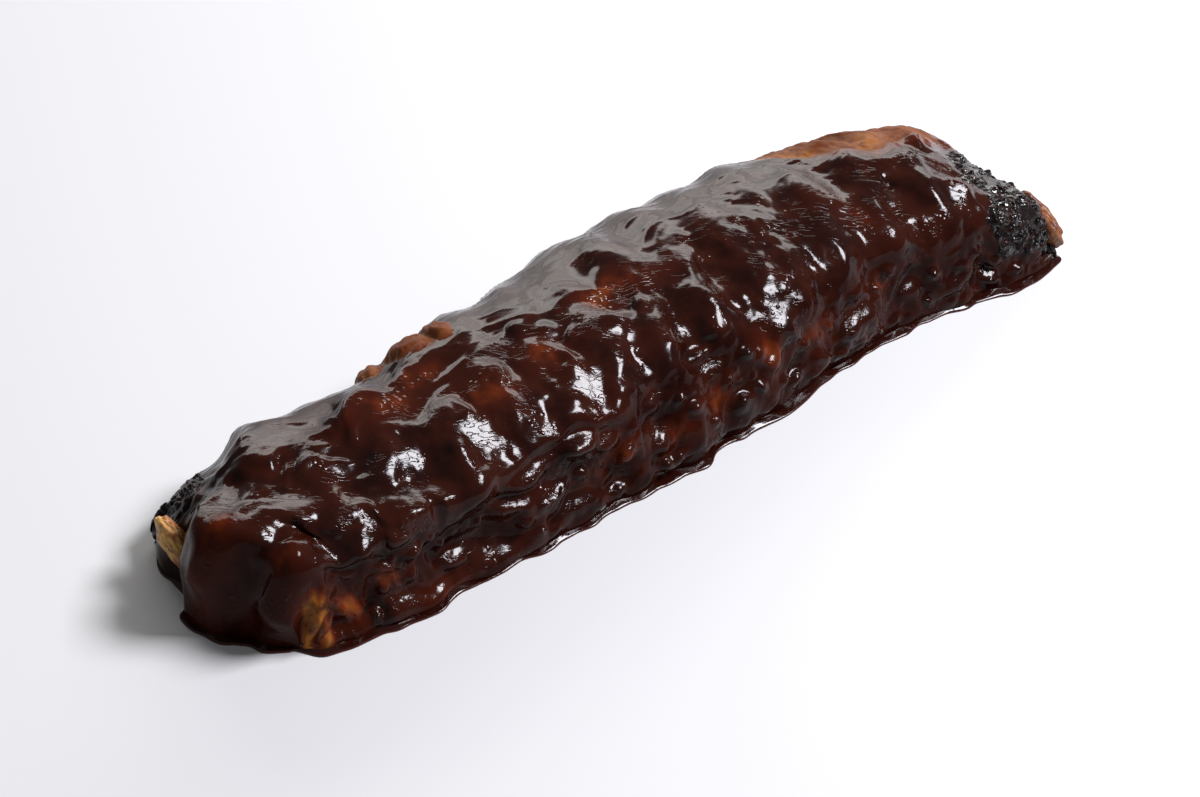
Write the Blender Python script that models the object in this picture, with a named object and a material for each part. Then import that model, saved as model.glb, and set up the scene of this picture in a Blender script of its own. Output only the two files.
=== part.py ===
"""A glazed rack of ribs, lying bone side down: one solid slab of meat with a ridge over each rib.

The slab is worked out in cross-sections along X, its length. Each section runs from the front
foot (the thin rib-tip edge, towards -Y) over the top to the back foot (the thick loin edge).
"""

import bpy
import numpy as np

# Driving dimensions, in metres.
LENGTH = 0.320
HEIGHT = 0.041
RIBS = 13
RIB_PITCH = 0.0244
FIRST_RIB_X = -0.1525

# The two long edges, where the meat meets the surface under it.
FRONT_Y = -0.0364
BACK_Y = 0.0335
LOIN_WIDENING = 0.015
LOBE_DEPTH = 0.0032
BACK_WAVE = 0.0022
FRONT_BULGES = ((0.080, 0.036, 0.0055), (-0.006, 0.014, -0.0015), (-0.056, 0.025, -0.0010))
BACK_BULGES = ((-0.120, 0.014, 0.0050), (-0.056, 0.015, 0.0035), (0.112, 0.022, -0.0060))

# The ends: the cut near end is bowed and steep, the far end is lower and rounded off at the back.
NEAR_ROUND = 0.012
FAR_ROUND = 0.011
NEAR_FRONT_BOW = 0.017
NEAR_BACK_BOW = 0.0085
NEAR_DISH = 0.005
NEAR_CREASE = 0.0035
FAR_BACK_ROUND = 0.027
CORNER_RADIUS = 0.020
NEAR_NARROWING = 0.18
FAR_NARROWING = 0.10
NEAR_BACK_DROP = 0.014
NEAR_DROP = 0.003
FAR_DROP = 0.016
CROWN = 0.003

# Low humps along the back of the top (place along X, half-length, height), one on the far end's
# back corner, and a dip in the far end's front half.
BACK_HUMPS = ((-0.054, 0.015, 0.0035), (-0.122, 0.015, 0.0025))
FAR_CORNER_HUMP = 0.005
FAR_FRONT_DIP = 0.0035

# Relief: shallow valleys between the ribs, uneven meat over them, and bones felt underneath.
VALLEY_DEPTH = 0.0024
RIB_WANDER = 0.0024
WANDER_LENGTH = 0.118
LUMP_HEIGHT = 0.0008
LUMP_LENGTHS = (0.0330, 0.0195)
BONE_RELIEF = 0.0015

# How finely the surface is divided.
STEPS_PER_RIB = 6
STEPS_ACROSS = 28
END_STEPS = 5

MEAT_COLOUR = (0.085, 0.022, 0.010, 1.0)

HALF = LENGTH / 2


def ramp(start, stop, value):
    """0 before start, 1 after stop, and a smooth step between them; start may be the larger."""
    part = np.clip((value - start) / (stop - start), 0, 1)
    return part * part * (3 - 2 * part)


def bell(value, centre, width):
    """A smooth hump, 1 at its centre."""
    return np.exp(-(((value - centre) / width) ** 2))


def rib_wave(x):
    """1 over each rib and 0 midway between two."""
    return 0.5 + 0.5 * np.cos(2 * np.pi * (x - FIRST_RIB_X) / RIB_PITCH)


def ridge_wave(x):
    """The same wave as it shows through the meat, where the ridges lie less evenly."""
    return rib_wave(x + RIB_WANDER * np.sin(2 * np.pi * x / WANDER_LENGTH))


def lumps(x, across):
    """Low uneven swellings of the meat, from two crossing pairs of waves."""
    longer, shorter = (2 * np.pi * x / length for length in LUMP_LENGTHS)
    return LUMP_HEIGHT * (np.sin(longer + 2.3 * across) + np.sin(shorter - 3.9 * across + 1.2))


def valley(x, across):
    """Depth of the dip between two ribs: deepest on the front slope, and not the same in each."""
    depth = VALLEY_DEPTH * (0.75 + 0.25 * np.sin(2 * np.pi * x / WANDER_LENGTH + 2.0))
    return depth * (1 - ridge_wave(x)) * ramp(0.75, -0.55, across)


def front_foot(x):
    """Y of the front edge: a straight line with a lobe for each rib and a few broad bulges."""
    y = FRONT_Y - LOBE_DEPTH * (ridge_wave(x) - 0.5)
    for centre, width, amount in FRONT_BULGES:
        y = y + amount * bell(x, centre, width)
    return y - 0.003 * ramp(0.110, 0.150, x) + 0.004 * ramp(-0.110, -0.150, x)


def back_foot(x):
    """Y of the back edge, which widens from the near end towards the middle."""
    y = BACK_Y + LOIN_WIDENING * ramp(-0.075, 0.015, x) - 0.0015 * ramp(0.060, 0.120, x)
    y = y + BACK_WAVE * (ridge_wave(x - RIB_PITCH / 4) - 0.5) + 0.003 * ramp(-0.120, -0.150, x)
    for centre, width, amount in BACK_BULGES:
        y = y + amount * bell(x, centre, width)
    return y


def end_rounding(x):
    """1 along the rack, falling to 0 over the rounded edge of each end."""
    near = np.clip((-x - HALF + NEAR_ROUND) / NEAR_ROUND, 0, 1)
    far = np.clip((x - HALF + FAR_ROUND) / FAR_ROUND, 0, 1)
    return np.sqrt(1 - near**1.8) * np.sqrt(1 - far**2.4)


def humps(x, across):
    """The low humps along the back and round the far end, at a place from -1 to 1."""
    z = FAR_CORNER_HUMP * bell(x, 0.147, 0.010) * bell(across, 0.5, 0.3)
    for centre, width, height in BACK_HUMPS:
        z = z + height * bell(x, centre, width) * ramp(0.1, 0.6, across)
    return z - FAR_FRONT_DIP * bell(x, 0.154, 0.007) * bell(across, -0.35, 0.3)


def crest(x, across):
    """Height of the meat before it is rounded off, at a place from -1 (front) to 1 (back)."""
    z = HEIGHT - CROWN * (1 - bell(x, 0.010, 0.080)) + humps(x, across)
    z = z - NEAR_BACK_DROP * ramp(-0.1, 0.95, across) * ramp(-0.118, -0.150, x)
    z = z - NEAR_DROP * ramp(-0.080, -0.140, x)
    return z - FAR_DROP * ramp(0.118, 0.152, x) * (1 - 0.15 * ramp(0.2, -0.5, across))


def end_shift(x, across):
    """How far the ends are drawn in along X: bowed, creased and dished near, rounded far."""
    bow = np.where(across < 0, NEAR_FRONT_BOW, NEAR_BACK_BOW)
    near = bow * np.abs(across) ** 2.2 + NEAR_CREASE * bell(across, -0.62, 0.13)
    near = near + NEAR_DISH * bell(across, 0.35, 0.25) * ramp(0, 0.15, across)
    far = FAR_BACK_ROUND * ramp(0.15, 1.25, across)
    return near * ramp(-0.095, -HALF, x) - far * ramp(0.085, HALF, x)


def end_width(x):
    """Share of the full width, which narrows over the rounded corners of both ends."""
    past = np.clip((np.abs(x) - HALF + CORNER_RADIUS) / CORNER_RADIUS, 0, 1)
    narrowing = np.where(x < 0, NEAR_NARROWING, FAR_NARROWING)
    return 1 - narrowing * (1 - np.sqrt(1 - past**2))


def bone_groove(x):
    """Height of the underside: flat strips under the ribs, with a shallow groove between two."""
    between = ramp(0.75, 0.0, rib_wave(x))
    return BONE_RELIEF * between * ramp(-0.156, -0.150, x) * ramp(0.150, 0.143, x)


def top_point(x, turn):
    """A point of the top: turn goes from 0 at the front foot to pi at the back foot."""
    side = -np.cos(turn)
    across = np.sign(side) * np.abs(side) ** 0.9
    front = front_foot(x)
    back = back_foot(x)
    y = (front + back) / 2 + (back - front) / 2 * across * end_width(x)
    rise = np.sin(turn) ** np.where(side < 0, 0.56, 0.60) * end_rounding(x)
    surface = crest(x, across) - valley(x, across) + lumps(x, across)
    z = bone_groove(x) + (surface - bone_groove(x)) * rise
    return np.stack([x + end_shift(x, across), y, z], axis=-1)


def stations():
    """Places along the rack: a whole number to each rib, and closer together over each end."""
    step = RIB_PITCH / STEPS_PER_RIB
    along = FIRST_RIB_X + step * np.arange(-STEPS_PER_RIB, RIBS * STEPS_PER_RIB + 1)
    along = along[(along > -HALF + NEAR_ROUND) & (along < HALF - FAR_ROUND)]
    closing = 1 - np.cos(np.linspace(0, np.pi / 2, END_STEPS + 1))
    near = -HALF + NEAR_ROUND * closing
    far = HALF - FAR_ROUND * closing
    return np.unique(np.round(np.concatenate([near, along, far]), 6))


def rack_surfaces():
    """The grid of the top and the grid of the underside, with their outer points in common."""
    x, turn = np.meshgrid(stations(), np.linspace(0, np.pi, STEPS_ACROSS + 1), indexing="ij")
    top = top_point(x, turn)
    under = top.copy()
    under[..., 2] = bone_groove(x)
    middle = (top.reshape(-1, 3).min(axis=0) + top.reshape(-1, 3).max(axis=0)) / 2
    middle[2] = 0
    return top - middle, under - middle


def grid_faces(index, outward):
    """Four-sided faces over a grid of point numbers, wound to face outward or the other way."""
    corners = [index[:-1, :-1], index[1:, :-1], index[1:, 1:], index[:-1, 1:]]
    faces = np.stack([corner.ravel() for corner in corners], axis=1)
    return faces if outward else faces[:, ::-1]


def rack_mesh():
    """One closed mesh: the top and the underside, joined along the foot all the way round."""
    top, under = rack_surfaces()
    rows, columns = top.shape[:2]
    top_index = np.arange(rows * columns).reshape(rows, columns)
    under_index = top_index.copy()
    inner = under[1:-1, 1:-1].reshape(-1, 3)
    under_index[1:-1, 1:-1] = rows * columns + np.arange(len(inner)).reshape(rows - 2, columns - 2)
    points = np.concatenate([top.reshape(-1, 3), inner])
    faces = np.concatenate([grid_faces(top_index, True), grid_faces(under_index, False)])
    mesh = bpy.data.meshes.new("rack_of_ribs")
    mesh.from_pydata(points.tolist(), [], faces.tolist())
    mesh.validate()
    mesh.shade_smooth()
    return mesh


def glazed_meat():
    """Dark, glossy, sauce-covered meat."""
    material = bpy.data.materials.new("glazed_meat")
    material.use_nodes = True
    shader = material.node_tree.nodes["Principled BSDF"]
    shader.inputs["Base Color"].default_value = MEAT_COLOUR
    shader.inputs["Roughness"].default_value = 0.25
    shader.inputs["Metallic"].default_value = 0.0
    return material


def build():
    for old in list(bpy.data.objects):
        bpy.data.objects.remove(old, do_unlink=True)
    rack = bpy.data.objects.new("rack_of_ribs", rack_mesh())
    rack.data.materials.append(glazed_meat())
    bpy.context.scene.collection.objects.link(rack)


build()
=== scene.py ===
"""A whole rack of baby back ribs in thick barbecue sauce, dressed over its plain solid.

The script follows the rack as it is made: the camera and the table it lies on, then the meat
with its glaze, its underside, the charred ends, the scraps that stand out of the sauce, the rim
of sauce round its foot, and last the lights.
"""

import math

import bpy
import numpy as np
from mathutils import Matrix, Vector


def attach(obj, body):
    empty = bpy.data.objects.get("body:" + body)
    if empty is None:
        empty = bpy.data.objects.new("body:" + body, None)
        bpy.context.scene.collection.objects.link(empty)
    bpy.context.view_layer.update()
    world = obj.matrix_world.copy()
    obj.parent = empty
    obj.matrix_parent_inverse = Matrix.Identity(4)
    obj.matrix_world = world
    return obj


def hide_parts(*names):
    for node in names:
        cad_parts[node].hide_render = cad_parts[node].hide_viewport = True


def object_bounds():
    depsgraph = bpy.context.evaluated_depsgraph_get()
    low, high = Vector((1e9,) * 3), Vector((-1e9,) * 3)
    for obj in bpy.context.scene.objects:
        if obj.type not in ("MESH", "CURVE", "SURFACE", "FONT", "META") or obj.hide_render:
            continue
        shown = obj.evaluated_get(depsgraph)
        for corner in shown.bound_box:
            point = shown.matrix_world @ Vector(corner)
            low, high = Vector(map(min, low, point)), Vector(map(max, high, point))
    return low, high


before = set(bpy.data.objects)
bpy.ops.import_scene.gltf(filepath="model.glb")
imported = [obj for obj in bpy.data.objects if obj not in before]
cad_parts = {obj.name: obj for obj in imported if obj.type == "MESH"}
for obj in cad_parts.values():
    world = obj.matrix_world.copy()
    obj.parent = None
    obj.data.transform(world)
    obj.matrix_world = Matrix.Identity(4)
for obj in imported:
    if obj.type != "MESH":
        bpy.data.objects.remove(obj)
solid_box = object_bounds()
MM = 0.001

# ---------------------------------------------------------------------------------------------
# The camera: a short telephoto lens over the rack's near front corner, looking down on it.
# It is set by its place over the table, the way it looks, and a slight tilt of the horizon.
CAMERA_PLACE = Vector((-392.0, -405.9, 486.7)) * MM
CAMERA_HEADING = math.radians(43.52)
CAMERA_DOWN = math.radians(41.17)
CAMERA_TILT = math.radians(4.10)
CAMERA_LENS = 71.88


def place_camera():
    """Looks along (sin h cos d, cos h cos d, -sin d), turned about that line by the tilt."""
    level = math.cos(CAMERA_DOWN)
    ahead = Vector((math.sin(CAMERA_HEADING) * level, math.cos(CAMERA_HEADING) * level, 0))
    ahead.z = -math.sin(CAMERA_DOWN)
    right = Vector((math.cos(CAMERA_HEADING), -math.sin(CAMERA_HEADING), 0))
    up = right.cross(ahead)
    tilted_right = right * math.cos(CAMERA_TILT) + up * math.sin(CAMERA_TILT)
    tilted_up = tilted_right.cross(ahead)
    turn = Matrix((tilted_right, tilted_up, -ahead)).transposed()
    data = bpy.data.cameras.new("camera")
    data.lens = CAMERA_LENS
    data.sensor_width = 36
    data.clip_start = 0.01
    data.clip_end = 20
    camera = bpy.data.objects.new("camera", data)
    camera.matrix_world = Matrix.Translation(CAMERA_PLACE) @ turn.to_4x4()
    bpy.context.scene.collection.objects.link(camera)
    bpy.context.scene.camera = camera


place_camera()

# ---------------------------------------------------------------------------------------------
# The table: one wide pale matt board under the rack.
TABLE_REACH = 6.0
TABLE_COLOUR = (0.53, 0.53, 0.53, 1)


def make_table():
    """A flat square at z = 0, reaching well past the view on every side."""
    mesh = bpy.data.meshes.new("table")
    reach = TABLE_REACH
    corners = [(-reach, -reach, 0), (reach, -reach, 0), (reach, reach, 0), (-reach, reach, 0)]
    mesh.from_pydata(corners, [], [(0, 1, 2, 3)])
    board = bpy.data.objects.new("table", mesh)
    bpy.context.scene.collection.objects.link(board)
    material = bpy.data.materials.new("matt_board")
    material.use_nodes = True
    shader = material.node_tree.nodes["Principled BSDF"]
    shader.inputs["Base Color"].default_value = TABLE_COLOUR
    shader.inputs["Roughness"].default_value = 0.9
    shader.inputs["Specular IOR Level"].default_value = 0.1
    mesh.materials.append(material)


make_table()

# ---------------------------------------------------------------------------------------------
# The form of the rack, the same as its solid's: an arched slab worked out in cross-sections
# along X. A section runs from the front foot (turn 0), over the top, to the back foot (turn pi).
LENGTH = 320 * MM
HALF = LENGTH / 2
HEIGHT = 41 * MM
RIB_PITCH = 24.4 * MM
FIRST_RIB_X = -152.5 * MM
WANDER_LENGTH = 118 * MM
NEAR_ROUND = 12 * MM
FAR_ROUND = 11 * MM
CORNER_RADIUS = 20 * MM


def ramp(start, stop, value):
    """0 before start, 1 after stop, 3t^2 - 2t^3 between them; start may be the larger."""
    part = np.clip((value - start) / (stop - start), 0, 1)
    return part * part * (3 - 2 * part)


def bell(value, centre, width):
    """exp(-((value - centre) / width)^2): a smooth hump, 1 at its centre."""
    return np.exp(-(((value - centre) / width) ** 2))


def rib_wave(x):
    """A cosine along the rack: 1 over each rib and 0 midway between two."""
    return 0.5 + 0.5 * np.cos(2 * np.pi * (x - FIRST_RIB_X) / RIB_PITCH)


def ridge_wave(x):
    """The rib wave with its ridges moved a little along the rack, as the meat lies over them."""
    return rib_wave(x + 2.4 * MM * np.sin(2 * np.pi * x / WANDER_LENGTH))


def front_foot(x):
    """Y of the front edge: a line with a lobe at each rib and three broad bulges."""
    y = -36.4 * MM - 3.2 * MM * (ridge_wave(x) - 0.5) + 5.5 * MM * bell(x, 80 * MM, 36 * MM)
    y = y - 1.5 * MM * bell(x, -6 * MM, 14 * MM) - 1.0 * MM * bell(x, -56 * MM, 25 * MM)
    return y - 3 * MM * ramp(110 * MM, 150 * MM, x) + 4 * MM * ramp(-110 * MM, -150 * MM, x)


def back_foot(x):
    """Y of the back edge: it widens from the near end to the middle, in low waves."""
    y = 33.5 * MM + 15 * MM * ramp(-75 * MM, 15 * MM, x) - 1.5 * MM * ramp(60 * MM, 120 * MM, x)
    y = y + 2.2 * MM * (ridge_wave(x - RIB_PITCH / 4) - 0.5) + 3 * MM * ramp(-120 * MM, -150 * MM, x)
    y = y + 5 * MM * bell(x, -120 * MM, 14 * MM) + 3.5 * MM * bell(x, -56 * MM, 15 * MM)
    return y - 6 * MM * bell(x, 112 * MM, 22 * MM)


def end_rounding(x):
    """sqrt(1 - t^n) over the last stretch of each end, and 1 between."""
    near = np.clip((-x - HALF + NEAR_ROUND) / NEAR_ROUND, 0, 1)
    far = np.clip((x - HALF + FAR_ROUND) / FAR_ROUND, 0, 1)
    return np.sqrt(1 - near**1.8) * np.sqrt(1 - far**2.4)


def back_humps(x, across):
    """Three low humps along the back of the slab, and a dip in the front of its far end."""
    behind = ramp(0.1, 0.6, across)
    z = 3.5 * MM * bell(x, -54 * MM, 15 * MM) * behind + 2.5 * MM * bell(x, -122 * MM, 15 * MM) * behind
    z = z + 5 * MM * bell(x, 147 * MM, 10 * MM) * bell(across, 0.5, 0.3)
    return z - 3.5 * MM * bell(x, 154 * MM, 7 * MM) * bell(across, -0.35, 0.3)


def crest(x, across):
    """Height before rounding at a place across from -1 to 1: low at both ends, crowned between."""
    z = HEIGHT - 3 * MM * (1 - bell(x, 10 * MM, 80 * MM)) - 3 * MM * ramp(-80 * MM, -140 * MM, x)
    z = z + back_humps(x, across)
    z = z - 14 * MM * ramp(-0.1, 0.95, across) * ramp(-118 * MM, -150 * MM, x)
    return z - 16 * MM * ramp(118 * MM, 152 * MM, x) * (1 - 0.15 * ramp(0.2, -0.5, across))


def end_shift(x, across):
    """The near end drawn in by a bow and a crease, the far end by its rounded back corner."""
    bow = np.where(across < 0, 17 * MM, 8.5 * MM)
    near = bow * np.abs(across) ** 2.2 + 3.5 * MM * bell(across, -0.62, 0.13)
    near = near + 5 * MM * bell(across, 0.35, 0.25) * ramp(0, 0.15, across)
    far = 27 * MM * ramp(0.15, 1.25, across)
    return near * ramp(-95 * MM, -HALF, x) - far * ramp(85 * MM, HALF, x)


def end_width(x):
    """Share of the full width left over each end's rounded corners."""
    past = np.clip((np.abs(x) - HALF + CORNER_RADIUS) / CORNER_RADIUS, 0, 1)
    return 1 - np.where(x < 0, 0.18, 0.10) * (1 - np.sqrt(1 - past**2))


def meat_relief(x, across):
    """Low crossing waves over the slab, less the valleys between the ribs."""
    waves = np.sin(2 * np.pi * x / (33 * MM) + 2.3 * across)
    waves = waves + np.sin(2 * np.pi * x / (19.5 * MM) - 3.9 * across + 1.2)
    depth = 2.4 * MM * (0.75 + 0.25 * np.sin(2 * np.pi * x / WANDER_LENGTH + 2.0))
    return 0.8 * MM * waves - depth * (1 - ridge_wave(x)) * ramp(0.75, -0.55, across)


def slab_point(x, turn):
    """Y from the two feet by a flattened cosine of turn, and height by a power of its sine."""
    side = -np.cos(turn)
    across = np.sign(side) * np.abs(side) ** 0.9
    front = front_foot(x)
    back = back_foot(x)
    y = (front + back) / 2 + (back - front) / 2 * across * end_width(x)
    rise = np.sin(turn) ** np.where(side < 0, 0.56, 0.60) * end_rounding(x)
    z = (crest(x, across) + meat_relief(x, across)) * rise
    return np.stack([x + end_shift(x, across), y, z], axis=-1)


def even_steps(curve, values, count):
    """Values at which a curve is cut into stretches of equal length."""
    length = np.concatenate([[0], np.cumsum(np.linalg.norm(np.diff(curve, axis=0), axis=1))])
    return np.interp(np.linspace(0, length[-1], count), length, values)


def slab_grid(count_along, count_across):
    """The slab's points on a grid of even steps, and each point's place along and over it."""
    fine_x = -HALF * np.cos(np.linspace(0, np.pi, 4001))
    fine_turn = np.linspace(0, np.pi, 2001)
    ridge = slab_point(fine_x, np.full_like(fine_x, np.pi / 2.6))
    section = slab_point(np.zeros_like(fine_turn), fine_turn)
    x = even_steps(ridge, fine_x, count_along)
    turn = even_steps(section, fine_turn, count_across)
    x, turn = np.meshgrid(x, turn, indexing="ij")
    points = slab_point(x, turn)
    low, high = points.reshape(-1, 3).min(axis=0), points.reshape(-1, 3).max(axis=0)
    middle = (low + high) / 2
    solid_middle = (np.array(solid_box[0]) + np.array(solid_box[1])) / 2
    points[..., :2] += solid_middle[:2] - middle[:2]
    steps = np.linalg.norm(np.diff(points, axis=1), axis=-1)
    over = np.concatenate([np.zeros((count_along, 1)), np.cumsum(steps, axis=1)], axis=1)
    at_top = np.argmin(np.abs(turn[0] - np.pi / 2))
    return points, x, turn, over - over[:, at_top : at_top + 1]


def outward(points):
    """Unit normals of a grid: the cross product of its two differences, turned to face up."""
    along = np.gradient(points, axis=0)
    over = np.gradient(points, axis=1)
    normal = np.cross(along, over)
    return normal / (np.linalg.norm(normal, axis=-1, keepdims=True) + 1e-15)


# ---------------------------------------------------------------------------------------------
# The glazed meat: browned pork under one to two millimetres of cooked barbecue sauce. The sauce
# follows the meat's lumps on the front slope, drapes smoothly over the back, and carries
# blisters and fine wrinkles. It hides all of the meat but a few thin amber places.
ALONG = 536
ACROSS = 184


def slope_noise(u, v, seed):
    """Smooth noise: a random slope at each whole-number point, blended by 6t^5 - 15t^4 + 10t^3."""
    angles = np.random.default_rng(seed).uniform(0, 2 * np.pi, (256, 256))
    cell_u, cell_v = np.floor(u).astype(int), np.floor(v).astype(int)
    part_u, part_v = u - cell_u, v - cell_v
    blend_u, blend_v = (t**3 * (t * (6 * t - 15) + 10) for t in (part_u, part_v))

    def corner(du, dv):
        angle = angles[(cell_u + du) % 256, (cell_v + dv) % 256]
        return np.cos(angle) * (part_u - du) + np.sin(angle) * (part_v - dv)

    low = corner(0, 0) * (1 - blend_u) + corner(1, 0) * blend_u
    high = corner(0, 1) * (1 - blend_u) + corner(1, 1) * blend_u
    return 1.6 * (low * (1 - blend_v) + high * blend_v)


def domes(u, v, seed, share, smallest, power=0.5):
    """Round domes, at most one to a whole-number cell: 1 - r^2 to a power, where the highest wins."""
    random = np.random.default_rng(seed)
    centre_u, centre_v, size, there = random.uniform(0, 1, (4, 128, 128))
    cell_u, cell_v = np.floor(u).astype(int), np.floor(v).astype(int)
    height = np.zeros_like(u)
    for du in (-1, 0, 1):
        for dv in (-1, 0, 1):
            at = ((cell_u + du) % 128, (cell_v + dv) % 128)
            radius = (smallest + (1 - smallest) * size[at] ** 2) * 0.62
            gap_u = u - cell_u - du - centre_u[at]
            gap_v = v - cell_v - dv - centre_v[at]
            inside = 1 - (gap_u**2 + gap_v**2) / radius**2
            dome = radius * np.clip(inside, 0, 1) ** power * (there[at] < share)
            height = np.maximum(height, dome)
    return height


def slump(x, over):
    """How far the front wall draws in above its foot: a half wave over 30 mm, uneven along."""
    part = np.clip((over + 63 * MM) / (32 * MM), 0, 1)
    share = 0.7 + 0.5 * slope_noise(x / (33 * MM), over / (90 * MM), 26)
    share = share * (1 + 0.45 * ramp(-30 * MM, -70 * MM, x) * ramp(-152 * MM, -140 * MM, x))
    return 4.4 * MM * share * np.sin(np.pi * part) ** 1.2


def foot_wander(x, over):
    """How far the foot moves back: part of each rib's lobe, more or less of it along the rack."""
    share = np.clip(0.45 + 0.9 * slope_noise(x / (37 * MM), x / (91 * MM), 33), 0, 1.1)
    moved = 3.2 * MM * (ridge_wave(x) - 0.5) * share + 1.3 * MM * slope_noise(x / (15 * MM), x / (70 * MM), 34)
    return moved * ramp(-34 * MM, -56 * MM, over) * ramp(0, 8 * MM, HALF - np.abs(x))


def pillows(u, v, seed):
    """Rounded lumps parted by soft creases: the size of a smooth noise, sqrt(n^2 + 0.06) - 0.36."""
    return np.sqrt(slope_noise(u, v, seed) ** 2 + 0.06) - 0.36


def near_end(x, over):
    """The near end's three lobes with a deep fold between two of them, in millimetres."""
    bend = over + 2 * MM * slope_noise(x / (12 * MM), over / (16 * MM), 27)
    lobes = 2.4 * bell(bend, -5 * MM, 6 * MM) + 2.8 * bell(bend, -27 * MM, 6 * MM)
    lobes = lobes - 2.4 * bell(bend, -16.5 * MM, 4.5 * MM) - 1.8 * bell(bend, -38 * MM, 4 * MM)
    lobes = lobes + 1.6 * pillows(x / (6 * MM), over / (8 * MM), 28)
    return lobes * ramp(-140 * MM, -154 * MM, x)


def calmness(x, over):
    """Less than 1 where the far front is smooth: 1 less most of a broad bell."""
    return 1 - 0.85 * bell(x, 98 * MM, 38 * MM) * bell(over, -16 * MM, 18 * MM)


def broad_relief(x, over):
    """The meat's own lumps under the sauce: two sizes of noise, high in front and low behind."""
    bend = 4 * MM * slope_noise(x / (30 * MM), over / (30 * MM), 3)
    front = ramp(9 * MM, -12 * MM, over)
    large = slope_noise((x + bend) / (19 * MM), (over - bend) / (23 * MM), 11)
    small = slope_noise((x - bend) / (11 * MM), (over + bend) / (13 * MM), 17)
    filled = 2.2 * (1 - ridge_wave(x)) * (0.60 + 0.8 * slope_noise(x / (37 * MM), over / (60 * MM), 18))
    top = 1.1 * (1 - ridge_wave(x)) * ramp(-18 * MM, 0, over) * ramp(30 * MM, 8 * MM, over)
    low = ramp(-34 * MM, -50 * MM, over)
    calm = calmness(x, over)
    lumps = large * (0.45 + 1.0 * front) + small * (0.10 + 0.55 * front) * calm
    knots = pillows((x + 2 * bend) / (10 * MM), (over - bend) / (8 * MM), 29)
    lumps = lumps + (0.8 * front + 1.1 * low) * calm * knots
    dimple = 1.8 * bell(x, 105 * MM, 1.7 * MM) * bell(over, -11 * MM, 2.6 * MM)
    lumps = lumps + 1.4 * bell(x, 147 * MM, 12 * MM) * bell(over, 13 * MM, 12 * MM)
    lumps = lumps - 1.3 * bell(x, 119 * MM, 9 * MM) * bell(over, 25 * MM, 9 * MM)
    return MM * (lumps + filled * front * (1.3 - 0.3 * calm) + top + near_end(x, over) - dimple)


# Flat places where the sauce has settled and shines: place along and over the rack, half-length
# and half-width, all in millimetres, then how many degrees the place leans to the front.
SETTLED = (
    (-148, -9, 2, 2, 30),
    (-146, -17, 2.5, 2.5, 30),
    (-142, -6, 2.5, 1.8, 30),
    (-144, -30, 4, 2.2, 32),
    (-138, -29, 3.4, 2.2, 32),
    (-136, -36, 4, 1.5, 33),
    (-127, -22, 3, 3, 31),
    (-126, -31, 3.5, 2.5, 32),
    (-125, -1, 2.5, 1.8, 30),
    (-120, -3, 3, 1.6, 30),
    (-113, 1, 2.5, 2, 30),
    (-110, -7, 4, 2.8, 31),
    (-99, -14, 9, 5, 31),
    (-111, -31, 6, 2.2, 32),
    (-89, -23, 1.6, 1.6, 31),
    (-85, -28, 2.2, 2, 32),
    (-75, -17, 5, 7.5, 31),
    (-67, -28, 1.8, 3, 31),
    (-63, -36, 8, 3, 32),
    (-57, -6, 2.2, 6, 30),
    (-72, -1, 3, 1.5, 28),
    (-36, -22, 4.5, 8, 31),
    (-33, -2, 3.5, 2.8, 30),
    (-39, 3, 2, 3.5, 26),
    (-28, -7, 2.2, 1.6, 30),
    (-19, -12, 6.5, 3.5, 30),
    (-16, -30, 3.2, 1.2, 31),
    (-3, -11, 1.8, 2.6, 30),
    (3, -25, 2.2, 2.2, 31),
    (19, 1, 2, 2, 27),
    (29, 2, 2.2, 2.6, 27),
    (47, -1, 2, 2, 27),
    (69, -6, 1.6, 1.4, 28),
    (32, -25, 1.5, 1.5, 31),
    (36, -37, 5, 5.5, 32),
    (82, -33, 1.2, 1.4, 32),
    (-121, -42, 4.5, 2, 33),
    (-107, -40, 3, 2, 33),
    (-102, -38, 2, 1.2, 33),
    (-129, -57, 4.5, 2.4, 34),
    (-115, -55, 7, 3.6, 34),
    (-98, -57, 3.5, 2.6, 34),
    (-89, -51, 6, 2.6, 33),
    (-80, -57, 8, 3, 34),
    (-66, -57, 3.5, 2.4, 34),
    (-74, -42, 5.5, 3.2, 33),
    (-60, -47, 6.5, 5, 33),
    (-52, -57, 4.5, 3.2, 34),
    (-35, -58, 3.5, 2.4, 34),
    (-38, -38, 4, 3.2, 33),
    (-18, -40, 4, 2.6, 33),
    (-18, -51, 3.8, 4, 33),
    (-14, -60, 3, 2.2, 34),
    (14, -57, 3, 2.6, 34),
    (38, -59, 4, 2, 34),
    (7, -41, 4, 2.6, 33),
    (28, -47, 3, 2, 33),
    (69, -52, 6.5, 4, 33),
    (94, -51, 3.4, 3, 33),
    (112, -53, 2.4, 2.6, 33),
    (128, -54, 3, 2.6, 33),
    (122, -23, 5, 4.5, 31),
    (126, -30, 2, 2, 32),
    (-96, -25, 12, 4, -4),
    (-128, -10, 12, 5, -4),
    (-112, -20, 10, 4, -4),
    (-147, 4, 6, 5, -3),
    (-122, 14, 15, 7, -8),
    (-48, -37, 4, 4, -2),
    (4, -33, 5, 2.5, -2),
    (-52, 3, 7, 4, 2),
    (-91, 6, 14, 6, 14),
    (-9, 0, 12, 6, 13),
    (12, -5, 8, 5, 14),
    (-76, 9, 8, 4, 10),
    (106, -3, 10, 4, 12),
    (92, 13, 16, 4, -10),
    (128, 8, 8, 5, -6),
    (83, -22, 6, 5, 14),
    (103, -22, 6, 5, 14),
    (62, -12, 6, 3, 8),
)


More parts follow.
